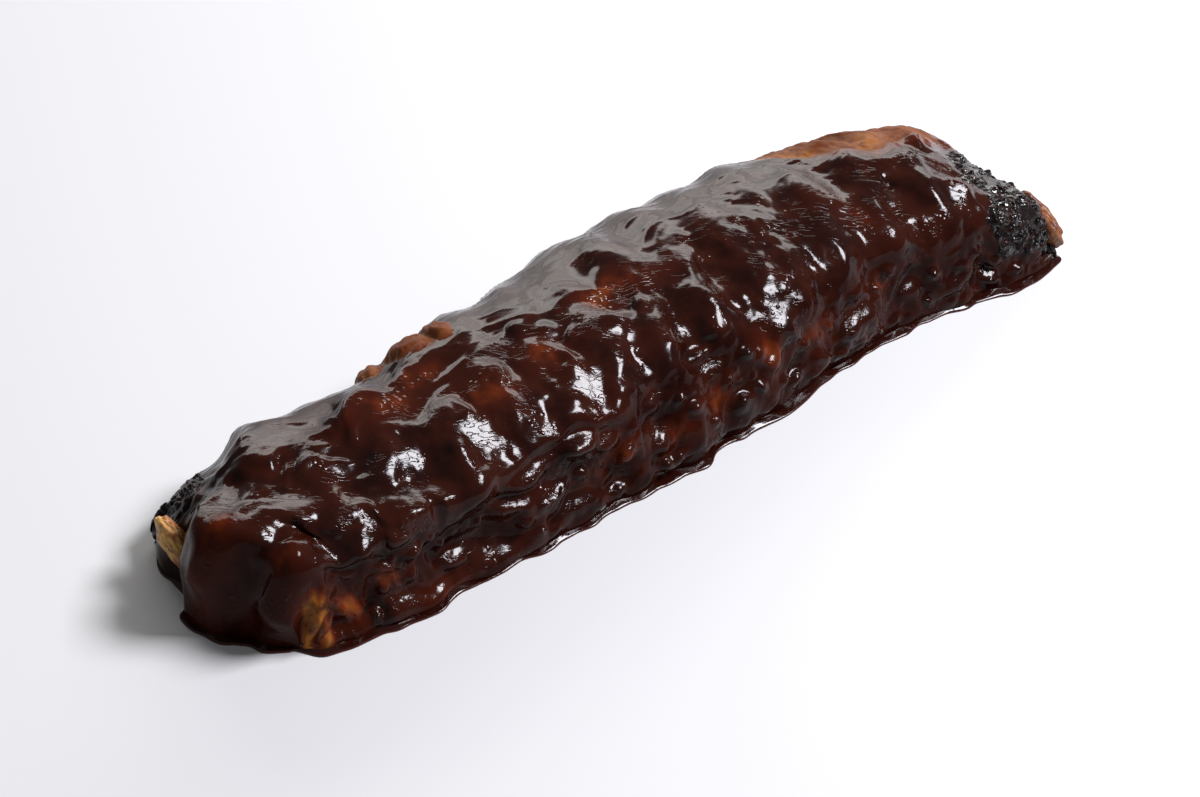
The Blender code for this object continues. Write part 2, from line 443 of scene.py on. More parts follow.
def eased(values, times):
    """A grid averaged with its neighbours, weights 1 2 1 both ways, this many times."""
    for _ in range(times):
        for axis in (0, 1):
            padded = np.pad(values, [(1, 1) if k == axis else (0, 0) for k in (0, 1)], mode="edge")
            before, after = (np.take(padded, np.arange(values.shape[axis]) + k, axis=axis) for k in (0, 2))
            values = (before + 2 * values + after) / 4
    return values


def settle(points, normal, x, over):
    """How far points move along their normals to a leaning plane, inside each settled oval's
    soft rim, and how much of a settled place each one is."""
    moved, settled = np.zeros_like(x), np.zeros_like(x)
    ragged = 0.42 * slope_noise(x / (6 * MM), over / (6 * MM), 31)
    ragged = ragged + 0.24 * slope_noise(x / (2.4 * MM), over / (2.4 * MM), 32)
    for along, across, length, width, lean in SETTLED:
        away = np.hypot((x - along * MM) / (length * MM), (over - across * MM) / (width * MM))
        row, column = np.unravel_index(np.argmin(away), away.shape)
        centre = points[row, column]
        side = math.radians(-0.06 * along)
        facing = np.array([math.sin(side), -math.sin(math.radians(lean)), math.cos(math.radians(lean))])
        facing = facing / np.linalg.norm(facing)
        step = ((centre - points) @ facing) / np.maximum(normal @ facing, 0.3)
        slip = math.sqrt(max(0.0, 1 - float(normal[row, column] @ facing) ** 2))
        step = np.clip(step + 0.36 * slip * width * MM, -1.6 * MM, 4.2 * MM)
        share = ramp(2.1, 0.55, away * 1.1 + ragged)
        moved = moved * (1 - share) + step * share
        settled = np.maximum(settled, share)
    return eased(moved, 3), settled


# Round drops low on the front wall: place, half-length, half-width and height in millimetres.
DROPS = (
    (-153, -57, 2.4, 1.9, 2.4),
    (-148, -61, 2.0, 1.6, 2.0),
    (-150, -47, 1.8, 1.6, 2.0),
    (-145, -52, 1.8, 1.6, 2.0),
    (-134, -52, 2.0, 1.7, 2.1),
    (-130, -57, 2.4, 1.8, 2.2),
    (-125, -60, 4.6, 1.7, 2.1),
    (-124, -51, 1.8, 1.6, 2.0),
    (-112, -61, 2.4, 1.6, 2.0),
    (-110, -49, 2.0, 1.6, 2.0),
    (-97, -59, 2.6, 1.8, 2.2),
    (-97, -43, 2.0, 1.7, 2.1),
    (-92, -57, 2.0, 1.6, 2.0),
    (-84, -46, 1.8, 1.6, 2.0),
    (-70, -60, 3.0, 1.6, 2.0),
    (-69, -50, 2.2, 1.7, 2.1),
    (-65, -56, 2.2, 1.8, 2.2),
    (-60, -60, 2.0, 1.6, 2.0),
    (-47, -50, 2.0, 1.7, 2.1),
    (-43, -61, 2.4, 1.5, 1.9),
    (-45, -43, 1.8, 1.6, 2.0),
    (-35, -60, 2.0, 1.6, 2.0),
    (-31, -50, 2.2, 2.1, 2.6),
    (-28, -43, 1.8, 1.6, 2.0),
    (-17, -61, 2.0, 1.6, 2.0),
    (-12, -61, 2.2, 1.7, 2.1),
    (-9, -45, 1.8, 1.6, 2.0),
    (-5, -50, 2.0, 1.7, 2.1),
    (2, -57, 1.8, 1.6, 2.0),
    (11, -49, 2.0, 1.7, 2.1),
    (14, -58, 2.4, 2.0, 2.5),
    (19, -44, 2.0, 1.7, 2.1),
    (22, -55, 1.8, 1.6, 2.0),
    (32, -56, 2.0, 1.7, 2.1),
    (38, -60, 3.2, 1.6, 2.0),
    (38, -44, 1.8, 1.6, 2.0),
    (44, -52, 1.8, 1.6, 2.0),
    (51, -59, 2.8, 1.8, 2.2),
    (56, -49, 1.8, 1.6, 2.0),
    (62, -60, 3.0, 1.6, 2.0),
    (80, -46, 2.0, 1.7, 2.1),
    (86, -41, 1.9, 2.0, 2.5),
    (87, -60, 2.4, 1.6, 2.0),
    (102, -56, 2.0, 1.6, 2.0),
    (110, -60, 2.2, 1.6, 2.0),
    (104, -46, 1.8, 1.6, 2.0),
    (121, -47, 2.0, 1.7, 2.1),
    (128, -57, 3.0, 1.6, 2.0),
    (130, -50, 2.2, 1.8, 2.2),
    (139, -55, 2.0, 1.6, 2.0),
)


def beads(x, over):
    """Lumps of sauce low on the front wall, in millimetres: two sizes of warped domes, in patches."""
    warp = 2.2 * MM * slope_noise(x / (5 * MM), over / (5 * MM), 36)
    drops = 1.5 * domes((x + warp) / (7.5 * MM), (over - warp) / (5 * MM), 20, 0.75, 0.3, 0.9)
    drops = drops + domes((x - warp) / (4.2 * MM), (over - warp) / (3.4 * MM), 37, 0.6, 0.3, 0.9)
    patches = ramp(-0.35, 0.25, slope_noise(x / (14 * MM), over / (14 * MM), 30))
    patches = np.maximum(patches, bell(x, -150 * MM, 9 * MM) * bell(over, -50 * MM, 9 * MM))
    return 1.2 * drops * patches * ramp(-34 * MM, -44 * MM, over)


def fine_relief(x, over, settled):
    """Runs, drapes, blisters and wrinkles of the sauce itself, weak where it has settled."""
    bend = 3 * MM * slope_noise(x / (26 * MM), over / (26 * MM), 4)
    u, v = x + bend, over + 0.6 * bend
    front = ramp(10 * MM, -10 * MM, over)
    runs = slope_noise(u / (6.0 * MM), v / (8.0 * MM), 12)
    runs = ramp(-0.30, 0.60, runs) - 0.4
    fold = slope_noise(u / (44 * MM) + 9, v / (9 * MM) + 0.4 * u / (30 * MM), 13)
    fold = (1 - np.abs(fold)) ** 9
    crease = slope_noise(u / (15 * MM) + 5, v / (6 * MM) + 2, 19)
    crease = (1 - np.abs(crease)) ** 12
    fine = slope_noise(u / (2.7 * MM), v / (3.2 * MM), 14)
    low = ramp(-34 * MM, -44 * MM, over)
    blisters = domes(x / (9 * MM), over / (9 * MM), 15, 0.5, 0.16, 1.2) * (1 - 0.8 * low)
    front_relief = (0.42 * runs + 0.13 * fine + 1.1 * blisters) * calmness(x, over) * (1 - 0.75 * settled)
    front_relief = front_relief + np.maximum(beads(x, over) * (1 - 0.75 * settled), spots(DROPS, x, over))
    smooth = 1 - 0.7 * bell(x, -120 * MM, 26 * MM) * bell(over, 14 * MM, 14 * MM)
    back_relief = (0.30 * fold + 0.20 * crease + 0.06 * runs + 0.3 * blisters) * smooth
    bare = glaze_masks(x, over)[2]
    near = ramp(20 * MM, -20 * MM, x)
    meat = (0.7 + 0.7 * near) * pillows(x / (5.5 * MM), over / (3.4 * MM), 16) + 0.25 * fine - 0.3
    meat = meat + 2.2 * ramp(0.4, 0.9, spots(BARE_PLACES, x, over))
    relief = front_relief * front + back_relief * (1 - front)
    return MM * (relief * (1 - bare) + meat * bare)


def grid_faces(rows, columns):
    """Four-sided faces over a grid of rows by columns of points."""
    index = np.arange(rows * columns).reshape(rows, columns)
    corners = [index[:-1, :-1], index[1:, :-1], index[1:, 1:], index[:-1, 1:]]
    return np.stack([corner.ravel() for corner in corners], axis=1)


def new_piece(name, points, faces, material):
    """A smooth-shaded object at the origin, made of the given points and faces."""
    mesh = bpy.data.meshes.new(name)
    mesh.from_pydata(points.tolist(), [], [list(face) for face in faces])
    mesh.validate()
    mesh.shade_smooth()
    mesh.materials.append(material)
    piece = bpy.data.objects.new(name, mesh)
    bpy.context.scene.collection.objects.link(piece)
    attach(piece, "root")
    return piece


def paint(piece, name, values):
    """Stores one number for each point of the piece's mesh, for its material to read."""
    layer = piece.data.attributes.new(name, "FLOAT", "POINT")
    layer.data.foreach_set("value", values.astype(np.float32).ravel())


# Where the sauce lies thin: place along and over, half-length and half-width in millimetres,
# and how thin it is.
THIN_PLACES = (
    (-8, 1, 12, 6, 0.72),
    (-90, 6, 15, 7, 0.70),
    (-76, 9, 9, 5, 0.6),
    (-60, -8, 9, 7, 0.45),
    (-40, -6, 8, 6, 0.45),
    (12, -3, 9, 5, 0.40),
    (-154, -44, 5.5, 8, 1.3),
    (-152, -56, 6, 5, 0.95),
    (-142, -51, 8, 7, 0.58),
    (-118, -47, 12, 4, 0.50),
    (-100, -58, 18, 5, 0.45),
    (-80, -48, 8, 5, 0.35),
    (-31, -48, 6, 5, 0.50),
    (-12, -54, 6, 5, 0.40),
    (6, -51, 8, 6, 0.55),
    (28, -45, 6, 7, 0.54),
    (50, -49, 8, 5, 0.55),
    (80, -45, 8, 5, 0.50),
    (84, -20, 5, 5, 0.40),
    (-150, -4, 4, 5, 0.34),
    (-150, -25, 4, 4, 0.36),
    (-158, -10, 5, 9, 0.30),
)
# Where the meat is bare, in the same terms.
BARE_PLACES = (
    (-66, 27, 9, 11, 1.0),
    (-57, 25, 5, 9.5, 1.0),
    (-78, 33, 6, 8, 0.95),
)


def spots(places, x, over):
    """The largest of the ovals exp(-d^2), d being the distance in half-lengths and half-widths."""
    most = np.zeros_like(x)
    for along, across, length, width, amount in places:
        distance = ((x - along * MM) / (length * MM)) ** 2 + ((over - across * MM) / (width * MM)) ** 2
        most = np.maximum(most, amount * np.exp(-distance))
    return most


def glaze_masks(x, over):
    """How thin, how charred and how bare each point is, from 0 to 1."""
    ragged = slope_noise(x / (8 * MM), over / (8 * MM), 21)
    ragged = ragged + 0.5 * slope_noise(x / (3 * MM), over / (3 * MM), 22)
    thin = spots(THIN_PLACES, x, over) * (1 + 0.35 * ragged)
    thin = thin + 0.16 * slope_noise(x / (26 * MM), over / (18 * MM), 23)
    thin = thin + 0.10 * np.clip(broad_relief(x, over) / MM, -2, 1.4) * ramp(10 * MM, -8 * MM, over)
    edge = 4 * MM * ragged + 7 * MM * slope_noise(over / (13 * MM), x / (60 * MM), 38)
    char = ramp(129 * MM, 137 * MM, x + edge - 0.25 * (over + 30 * MM))
    char = char * ramp(5 * MM, -3 * MM, over + 3 * MM * ragged) * ramp(-53 * MM, -46 * MM, over + 2 * MM * ragged)
    lump = bell(x, -150 * MM, 11 * MM) * bell(over, 30 * MM, 9 * MM) + 0.15 * ragged
    char = np.maximum(char, ramp(0.3, 0.6, lump))
    border = 27 * MM - 20 * MM * ramp(72 * MM, 112 * MM, x) + 1.0 * MM * ragged
    thin = np.maximum(thin, 0.6 * ramp(-9 * MM, -1 * MM, over - border) * ramp(84 * MM, 100 * MM, x))
    run = slope_noise(x / (9 * MM), x / (70 * MM), 24) + slope_noise(x / (31 * MM), x / (90 * MM), 25)
    run = ramp(-0.7, 0.7, run)
    drip = 50 * MM + 32 * MM * run + 3.0 * MM * ragged + 16 * MM * slope_noise(x / (15 * MM), over / (12 * MM), 35)
    border = border + (drip - border) * ramp(84 * MM, 72 * MM, x)
    border = border + (drip - border) * ramp(146 * MM, 152 * MM, x)
    bare = ramp(-0.9 * MM, 0.9 * MM, over - border) * (over > 0)
    bare = np.maximum(bare, ramp(0.35, 0.6, spots(BARE_PLACES, x, over) + 0.12 * ragged))
    red = np.maximum(ramp(114 * MM, 134 * MM, x), 0.7 * ramp(60 * MM, -20 * MM, x))
    thin = np.maximum(thin, 0.62 * ramp(-4 * MM, -0.6 * MM, over - border) * ramp(18 * MM, 26 * MM, over))
    stain = ramp(34 * MM, 56 * MM, over + 5 * MM * ragged)
    red = np.maximum(red, 0.9 * stain)
    thin = np.clip(thin, 0, 1) * (1 - np.clip(bare, 0, 1)) + red * np.clip(bare, 0, 1)
    return thin, np.clip(char, 0, 1), np.clip(bare, 0, 1)


def wire(material):
    """Small makers of this material's nodes: a painted value, a noise, a mix and a stretched value."""
    nodes, links = material.node_tree.nodes, material.node_tree.links

    def painted(name):
        node = nodes.new("ShaderNodeAttribute")
        node.attribute_name = name
        return node.outputs["Fac"]

    def noise(scale, detail, roughness=0.5):
        place = nodes.new("ShaderNodeTexCoord").outputs["Object"]
        node = nodes.new("ShaderNodeTexNoise")
        node.inputs["Scale"].default_value = scale
        node.inputs["Detail"].default_value = detail
        node.inputs["Roughness"].default_value = roughness
        links.new(place, node.inputs["Vector"])
        return node.outputs["Fac"]

    def streaks(along, over, up, detail):
        place = nodes.new("ShaderNodeTexCoord").outputs["Object"]
        stretch = nodes.new("ShaderNodeMapping")
        stretch.inputs["Scale"].default_value = (over, along, up)
        links.new(place, stretch.inputs["Vector"])
        node = nodes.new("ShaderNodeTexNoise")
        node.inputs["Scale"].default_value = 1.0
        node.inputs["Detail"].default_value = detail
        links.new(stretch.outputs["Vector"], node.inputs["Vector"])
        return node.outputs["Fac"]

    def wrinkles(turn, close, long, detail):
        """Noise drawn out along lines that wander about one way, turned round Z."""
        place = nodes.new("ShaderNodeTexCoord").outputs["Object"]
        bend = nodes.new("ShaderNodeTexNoise")
        bend.inputs["Scale"].default_value = 42
        links.new(place, bend.inputs["Vector"])
        pushed = nodes.new("ShaderNodeVectorMath")
        pushed.operation = "MULTIPLY_ADD"
        links.new(bend.outputs["Color"], pushed.inputs[0])
        pushed.inputs[1].default_value = (0.009, 0.009, 0.009)
        links.new(place, pushed.inputs[2])
        stretch = nodes.new("ShaderNodeMapping")
        stretch.vector_type = "TEXTURE"
        stretch.inputs["Rotation"].default_value = (0, 0, -turn)
        stretch.inputs["Scale"].default_value = (1 / long, 1 / close, 1 / close)
        links.new(pushed.outputs["Vector"], stretch.inputs["Vector"])
        node = nodes.new("ShaderNodeTexNoise")
        node.inputs["Scale"].default_value = 1.0
        node.inputs["Detail"].default_value = detail
        links.new(stretch.outputs["Vector"], node.inputs["Vector"])
        return node.outputs["Fac"]

    def mix(factor, first, second):
        node = nodes.new("ShaderNodeMix")
        node.data_type = "RGBA"
        links.new(factor, node.inputs["Factor"])
        for socket, value in ((node.inputs["A"], first), (node.inputs["B"], second)):
            if isinstance(value, tuple):
                socket.default_value = value
            else:
                links.new(value, socket)
        return node.outputs["Result"]

    def maths(operation, first, second=0.0):
        node = nodes.new("ShaderNodeMath")
        node.operation = operation
        for socket, value in zip(node.inputs, (first, second)):
            if isinstance(value, float):
                socket.default_value = value
            else:
                links.new(value, socket)
        return node.outputs["Value"]

    def between(value, low, high, to_low=0.0, to_high=1.0):
        node = nodes.new("ShaderNodeMapRange")
        links.new(value, node.inputs["Value"])
        node.inputs["From Min"].default_value = low
        node.inputs["From Max"].default_value = high
        node.inputs["To Min"].default_value = to_low
        node.inputs["To Max"].default_value = to_high
        return node.outputs["Result"]

    def bump(height, strength, distance):
        node = nodes.new("ShaderNodeBump")
        node.inputs["Strength"].default_value = strength
        node.inputs["Distance"].default_value = distance
        links.new(height, node.inputs["Height"])
        return node.outputs["Normal"]

    return painted, noise, streaks, wrinkles, mix, maths, between, bump


def glazed_meat_material():
    """Near-black sauce that turns amber where it is thin, char black, and bare meat golden."""
    material = bpy.data.materials.new("glazed_meat")
    material.use_nodes = True
    nodes, links = material.node_tree.nodes, material.node_tree.links
    shader = nodes["Principled BSDF"]
    painted, noise, streaks, wrinkles, mix, maths, between, bump = wire(material)

    thin_ramp = nodes.new("ShaderNodeValToRGB")
    links.new(painted("thin"), thin_ramp.inputs["Fac"])
    steps = thin_ramp.color_ramp
    steps.elements[0].position = 0.05
    steps.elements[0].color = (0.0105, 0.0019, 0.0011, 1)
    steps.elements[1].position = 1.0
    steps.elements[1].color = (0.260, 0.088, 0.0120, 1)
    for position, shade in (
        (0.40, (0.032, 0.0048, 0.0018, 1)),
        (0.62, (0.082, 0.0135, 0.0032, 1)),
        (0.82, (0.140, 0.0370, 0.0085, 1)),
    ):
        steps.elements.new(position).color = shade
    mottle = between(noise(150, 4), 0.42, 0.68)
    sauce = mix(mottle, thin_ramp.outputs["Color"], (0.0225, 0.0042, 0.0018, 1))
    meat = mix(between(noise(60, 4), 0.40, 0.62), (0.205, 0.074, 0.018, 1), (0.098, 0.026, 0.008, 1))
    meat = mix(between(painted("thin"), 0, 1, 0.0, 0.75), meat, (0.115, 0.030, 0.011, 1))
    fibres = between(streaks(60, 300, 60, 3), 0.48, 0.66, 0.0, 0.7)
    meat = mix(fibres, meat, (0.085, 0.022, 0.008, 1))
    meat = mix(between(noise(330, 3), 0.62, 0.74), meat, (0.035, 0.010, 0.006, 1))
    colour = mix(painted("bare"), sauce, meat)
    colour = mix(painted("char"), colour, (0.010, 0.0065, 0.006, 1))
    links.new(colour, shader.inputs["Base Color"])
    links.new(between(painted("bare"), 0, 1, 0.14, 0.46), shader.inputs["Roughness"])
    shader.inputs["IOR"].default_value = 1.12
    shader.inputs["Coat IOR"].default_value = 1.5
    shader.inputs["Coat Roughness"].default_value = 0.13
    front = between(painted("back"), 0, 1, 1.0, 0.25)
    grain = maths("ABSOLUTE", maths("SUBTRACT", wrinkles(0.62, 520, 105, 2), 0.5))
    creases = between(grain, 0.0, 0.030, -0.8, 0.0)
    creases = maths("MULTIPLY", creases, between(noise(120, 2), 0.42, 0.60, 0.2, 1.0))
    swell = maths("MULTIPLY", wrinkles(0.62, 300, 75, 1), 1.1)
    skin = maths("ADD", maths("ADD", creases, swell), maths("MULTIPLY", noise(900, 2), 0.35))
    skin = maths("MULTIPLY", skin, front)
    skin = maths("MULTIPLY", skin, between(painted("settled"), 0, 1, 0.35, 1.0))
    pimple = nodes.new("ShaderNodeTexVoronoi")
    pimple.inputs["Scale"].default_value = 520
    links.new(nodes.new("ShaderNodeTexCoord").outputs["Object"], pimple.inputs["Vector"])
    pimples = between(pimple.outputs["Distance"], 0.08, 0.40, 3.2, 0.0)
    clusters = maths("MULTIPLY", between(noise(75, 2), 0.53, 0.60, 0.0, 0.8), front)
    foamy = maths("MAXIMUM", between(painted("thin"), 0.30, 0.70), clusters)
    pimples = maths("MULTIPLY", pimples, foamy)
    pimples = maths("MULTIPLY", pimples, between(noise(160, 2), 0.40, 0.60, 0.0, 1.0))
    rough_meat = maths("MULTIPLY", maths("MULTIPLY", noise(300, 4), 3.5), painted("bare"))
    height = maths("ADD", maths("ADD", skin, pimples), rough_meat)
    shine = maths("MULTIPLY", maths("MULTIPLY", pimples, 0.045), between(painted("bare"), 0, 1, 1.0, 0.0))
    links.new(maths("ADD", painted("wet"), shine), shader.inputs["Coat Weight"])
    bumped = bump(height, 0.40, 0.00022)
    links.new(bumped, shader.inputs["Normal"])
    links.new(bumped, shader.inputs["Coat Normal"])
    return material


def make_glazed_meat():
    """The slab, its broad relief, the settled ovals, then the fine relief; closed below the foot."""
    points, x, turn, over = slab_grid(ALONG, ACROSS)
    edge = ramp(0.0, 0.035, np.sin(turn)) * ramp(0.0, 2.5 * MM, HALF - np.abs(x))
    points[..., 1] += slump(x, over) * edge + foot_wander(x, over)
    points = points + outward(points) * (broad_relief(x, over) * edge)[..., None]
    normal = outward(points)
    moved, settled = settle(points, normal, x, over)
    points = points + normal * (moved * edge)[..., None]
    points = np.stack([eased(points[..., k], 1) for k in range(3)], axis=-1)
    points = points + outward(points) * (fine_relief(x, over, settled) * edge)[..., None]
    top = 41.2 * MM
    points[..., 2] = np.where(points[..., 2] > top, top + 0.5 * (points[..., 2] - top), points[..., 2])
    points[..., 2] = np.maximum(points[..., 2], 0.2 * MM)
    rows, columns = x.shape
    inner = points[:, [0, -1]].copy()
    inner[:, 0] += (points[:, -1] - points[:, 0]) * 0.04
    inner[:, 1] -= (points[:, -1] - points[:, 0]) * 0.04
    inner[..., 2] = 2.2 * MM
    start = rows * columns
    loop = np.arange(rows)
    front, back = loop * columns, loop * columns + columns - 1
    front_in, back_in = start + loop * 2, start + loop * 2 + 1
    faces = grid_faces(rows, columns).tolist()
    for one, other in ((front, front_in), (front_in, back_in), (back_in, back)):
        faces += np.stack([one[:-1], other[:-1], other[1:], one[1:]], axis=1).tolist()
    last = rows - 1
    faces.append([int(front_in[0]), *range(columns), int(back_in[0])])
    faces.append([int(back_in[last]), *range(int(back[last]), int(front[last]) - 1, -1), int(front_in[last])])
    piece = new_piece(
        "glazed_meat",
        np.concatenate([points.reshape(-1, 3), inner.reshape(-1, 3)]),
        faces,
        glazed_meat_material(),
    )
    thin, charred, bare = glaze_masks(x, over)
    wall = np.maximum(ramp(-26 * MM, -42 * MM, over), ramp(-143 * MM, -151 * MM, x) * ramp(8 * MM, -2 * MM, over))
    wall = np.maximum(wall, ramp(34 * MM, 44 * MM, over))
    wall = np.maximum(wall, 0.62 * ramp(-70 * MM, -105 * MM, x) * ramp(-2 * MM, 8 * MM, over))
    drops = np.clip(np.maximum(1.2 * beads(x, over), spots(DROPS, x, over)), 0, 1)
    wet = 0.27 * np.maximum(np.maximum(1 - 0.85 * wall, settled), drops) * (1 - bare)
    back = ramp(-2 * MM, 8 * MM, over)
    painted = (("thin", thin), ("char", charred), ("bare", bare), ("wet", wet), ("back", back), ("settled", settled))
    for name, values in painted:
        paint(piece, name, np.concatenate([values.ravel(), np.zeros(2 * rows)]))
    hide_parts("rack_of_ribs")
    return points, x, over


rack_points, rack_x, rack_over = make_glazed_meat()

# ---------------------------------------------------------------------------------------------
# The charred crusts: at the far end and the near back corner the sauce has burnt to a black,
# bubbled crust with a hard shine. Each crust is a thin shell grown out of the glaze under it.


def finer(values, times):
    """Values of a grid at extra places: the cubic through each four neighbours, both ways."""
    for axis in (0, 1):
        values = np.moveaxis(values, axis, 0)
        count = values.shape[0]
        at = np.arange((count - 1) * times + 1) / times
        cell = np.minimum(at.astype(int), count - 2)
        part = (at - cell).reshape((-1,) + (1,) * (values.ndim - 1))
        before, here, there, after = (values[np.clip(cell + k, 0, count - 1)] for k in (-1, 0, 1, 2))
        bent = 2 * before - 5 * here + 4 * there - after
        turned = -before + 3 * here - 3 * there + after
        values = here + 0.5 * ((there - before) * part + bent * part**2 + turned * part**3)
        values = np.moveaxis(values, 0, axis)
    return values


def closed_sheet(name, points, material):
    """A grid of points facing out, closed behind by one face round its border."""
    rows, columns = points.shape[:2]
    index = np.arange(rows * columns).reshape(rows, columns)
    border = [*index[0, :], *index[1:, -1], *index[-1, -2::-1], *index[-2:0:-1, 0]]
    faces = grid_faces(rows, columns).tolist()
    faces.append([int(corner) for corner in border])
    return new_piece(name, points.reshape(-1, 3), faces, material)


def char_material(name, shine):
    """Burnt sauce: black with brown and grey flecks, rough in the pits and shining on the bubbles."""
    material = bpy.data.materials.new(name)
    material.use_nodes = True
    nodes, links = material.node_tree.nodes, material.node_tree.links
    shader = nodes["Principled BSDF"]
    painted, noise, streaks, wrinkles, mix, maths, between, bump = wire(material)
    colour = mix(between(noise(420, 3), 0.48, 0.72), (0.0040, 0.0028, 0.0028, 1), (0.024, 0.0090, 0.0060, 1))
    colour = mix(between(noise(900, 2), 0.66, 0.80), colour, (0.07, 0.050, 0.042, 1))
    links.new(colour, shader.inputs["Base Color"])
    links.new(between(noise(300, 2), 0.4, 0.6, 0.08, 0.26), shader.inputs["Roughness"])
    shader.inputs["IOR"].default_value = 1.14
    glassy = between(noise(340, 2), 0.50, 0.58, 0.0, 0.7)
    links.new(maths("MULTIPLY", glassy, shine), shader.inputs["Coat Weight"])
    shader.inputs["Coat IOR"].default_value = 1.5
    shader.inputs["Coat Roughness"].default_value = 0.07
    links.new(bump(noise(1100, 3, 0.5), 0.25, 0.0003), shader.inputs["Normal"])
    return material


def make_crust(name, x_from, x_to, over_from, over_to, seed, material):
    """The glaze made finer there and raised by bubbles of three sizes where the char mask is set."""
    rows = np.flatnonzero(((rack_x > x_from) & (rack_x < x_to)).any(axis=1))
    inside = (rack_over[rows] > over_from) & (rack_over[rows] < over_to)
    columns = np.flatnonzero(inside.any(axis=0))
    block = np.ix_(rows, columns)
    points, x, over = (finer(grid[block], 3) for grid in (rack_points, rack_x, rack_over))
    char = glaze_masks(x, over)[1]
    heap = slope_noise(x / (9 * MM), over / (8 * MM), seed + 4)
    large = domes(x / (5.0 * MM), over / (5.0 * MM), seed, 0.80, 0.40)
    middle = domes(x / (2.6 * MM), over / (2.6 * MM), seed + 1, 0.85, 0.35)
    small = domes(x / (1.3 * MM), over / (1.3 * MM), seed + 2, 0.60, 0.35)
    crumble = slope_noise(x / (1.7 * MM), over / (1.7 * MM), seed + 3)
    height = 0.7 * heap + 1.9 * large + 1.4 * middle + 0.45 * small + 0.25 * crumble
    height = height * ramp(0.15, 0.9, char) - 1.0 * ramp(0.45, 0.1, char) + 0.05
    sides = np.minimum.outer(
        np.minimum(np.arange(len(x)), np.arange(len(x))[::-1]),
        np.minimum(np.arange(x.shape[1]), np.arange(x.shape[1])[::-1]),
    )
    height = np.where(sides < 5, np.minimum(height, -1.0), height)
    points = points + outward(points) * (height * MM)[..., None]
    points[..., 2] = np.maximum(points[..., 2], 0.1 * MM)
    closed_sheet(name, points, material)


far_char = char_material("charred_crust", 1.0)
near_char = char_material("dull_charred_crust", 0.2)
make_crust("charred_far_end", 124 * MM, 159.9 * MM, -60 * MM, 12 * MM, 61, far_char)
make_crust("charred_near_corner", -159 * MM, -134 * MM, 12 * MM, 46 * MM, 71, near_char)

# ---------------------------------------------------------------------------------------------
# The scraps that stand out of the sauce at the two ends: a browned lump of fat and meat at the
# far front corner and a pale knob of gristle at the near back corner. Each is one closed lump.


def fat_material(name, pale, browned):
    """Fat browned by the grill: two tones in soft blotches, with a thin greasy shine."""
    material = bpy.data.materials.new(name)
    material.use_nodes = True
    nodes, links = material.node_tree.nodes, material.node_tree.links
    shader = nodes["Principled BSDF"]
    painted, noise, streaks, wrinkles, mix, maths, between, bump = wire(material)
    colour = mix(between(noise(240, 4), 0.40, 0.62), pale, browned)
    colour = mix(between(noise(520, 3), 0.60, 0.72), colour, (0.03, 0.008, 0.004, 1))
    links.new(colour, shader.inputs["Base Color"])
    shader.inputs["Roughness"].default_value = 0.34
    shader.inputs["IOR"].default_value = 1.42
    links.new(bump(noise(800, 4, 0.6), 0.5, 0.0006), shader.inputs["Normal"])
    return material


def make_lump(name, centre, long_way, flat_way, sizes, seed, material):
    """A ball stretched along two given directions and their cross, roughened by two noises."""
    long_way = np.array(long_way) / np.linalg.norm(long_way)
    third = np.cross(long_way, flat_way)
    third = third / np.linalg.norm(third)
    flat_way = np.cross(third, long_way)
    steps, turns = 72, 144
    down, round_ = np.meshgrid(
        np.linspace(0, np.pi, steps), np.linspace(0, 2 * np.pi, turns, endpoint=False), indexing="ij"
    )
    ball = np.stack([np.cos(down), np.sin(down) * np.cos(round_), np.sin(down) * np.sin(round_)], axis=-1)
    rough = slope_noise(ball[..., 0] * 2.1 + 3, ball[..., 1] * 2.1 + ball[..., 2] * 1.3, seed)
    rough = rough + 0.5 * slope_noise(ball[..., 0] * 5 + 9, ball[..., 1] * 5 - ball[..., 2] * 4, seed + 1)
    ball = ball * (1 + 0.12 * rough)[..., None] * (np.array(sizes) * MM)
    points = np.array(centre) * MM + ball @ np.array([long_way, flat_way, third])
    points[..., 2] = np.maximum(points[..., 2], 0.3 * MM)
    inner = points[1:-1].reshape(-1, 3)
    everything = np.concatenate([points[:1, 0], inner, points[-1:, 0]])
    rows = steps - 2
    index = 1 + np.arange(rows * turns).reshape(rows, turns)
    after = np.roll(index, -1, axis=1)
    faces = np.stack([index[:-1], index[1:], after[1:], after[:-1]], axis=-1).reshape(-1, 4).tolist()
    faces += [[0, int(one), int(other)] for one, other in zip(index[0], after[0])]
    last = len(everything) - 1
    faces += [[last, int(other), int(one)] for one, other in zip(index[-1], after[-1])]
    new_piece(name, everything, faces, material)


golden = fat_material("browned_fat", (0.200, 0.066, 0.016, 1), (0.085, 0.021, 0.006, 1))
cream = fat_material("pale_gristle", (0.50, 0.270, 0.070, 1), (0.23, 0.070, 0.018, 1))
make_lump("browned_end_lump", (157.8, -32.5, 12.2), (0.30, -0.70, -0.62), (1, 0, 0.2), (11.5, 4.6, 5.6), 81, golden)
make_lump("gristle_knob", (-153.8, 10.5, 15), (0.10, -0.75, -0.65), (-1, 0, 0), (9.0, 3.6, 4.0), 84, cream)

# ---------------------------------------------------------------------------------------------
# The bone side: the underside the rack lies on. Each rib shows as a low ridge under the shining
# membrane, with a browned hollow between two ribs. It is one closed slab let into the glaze.
UNDER_ALONG = 420
UNDER_ACROSS = 90


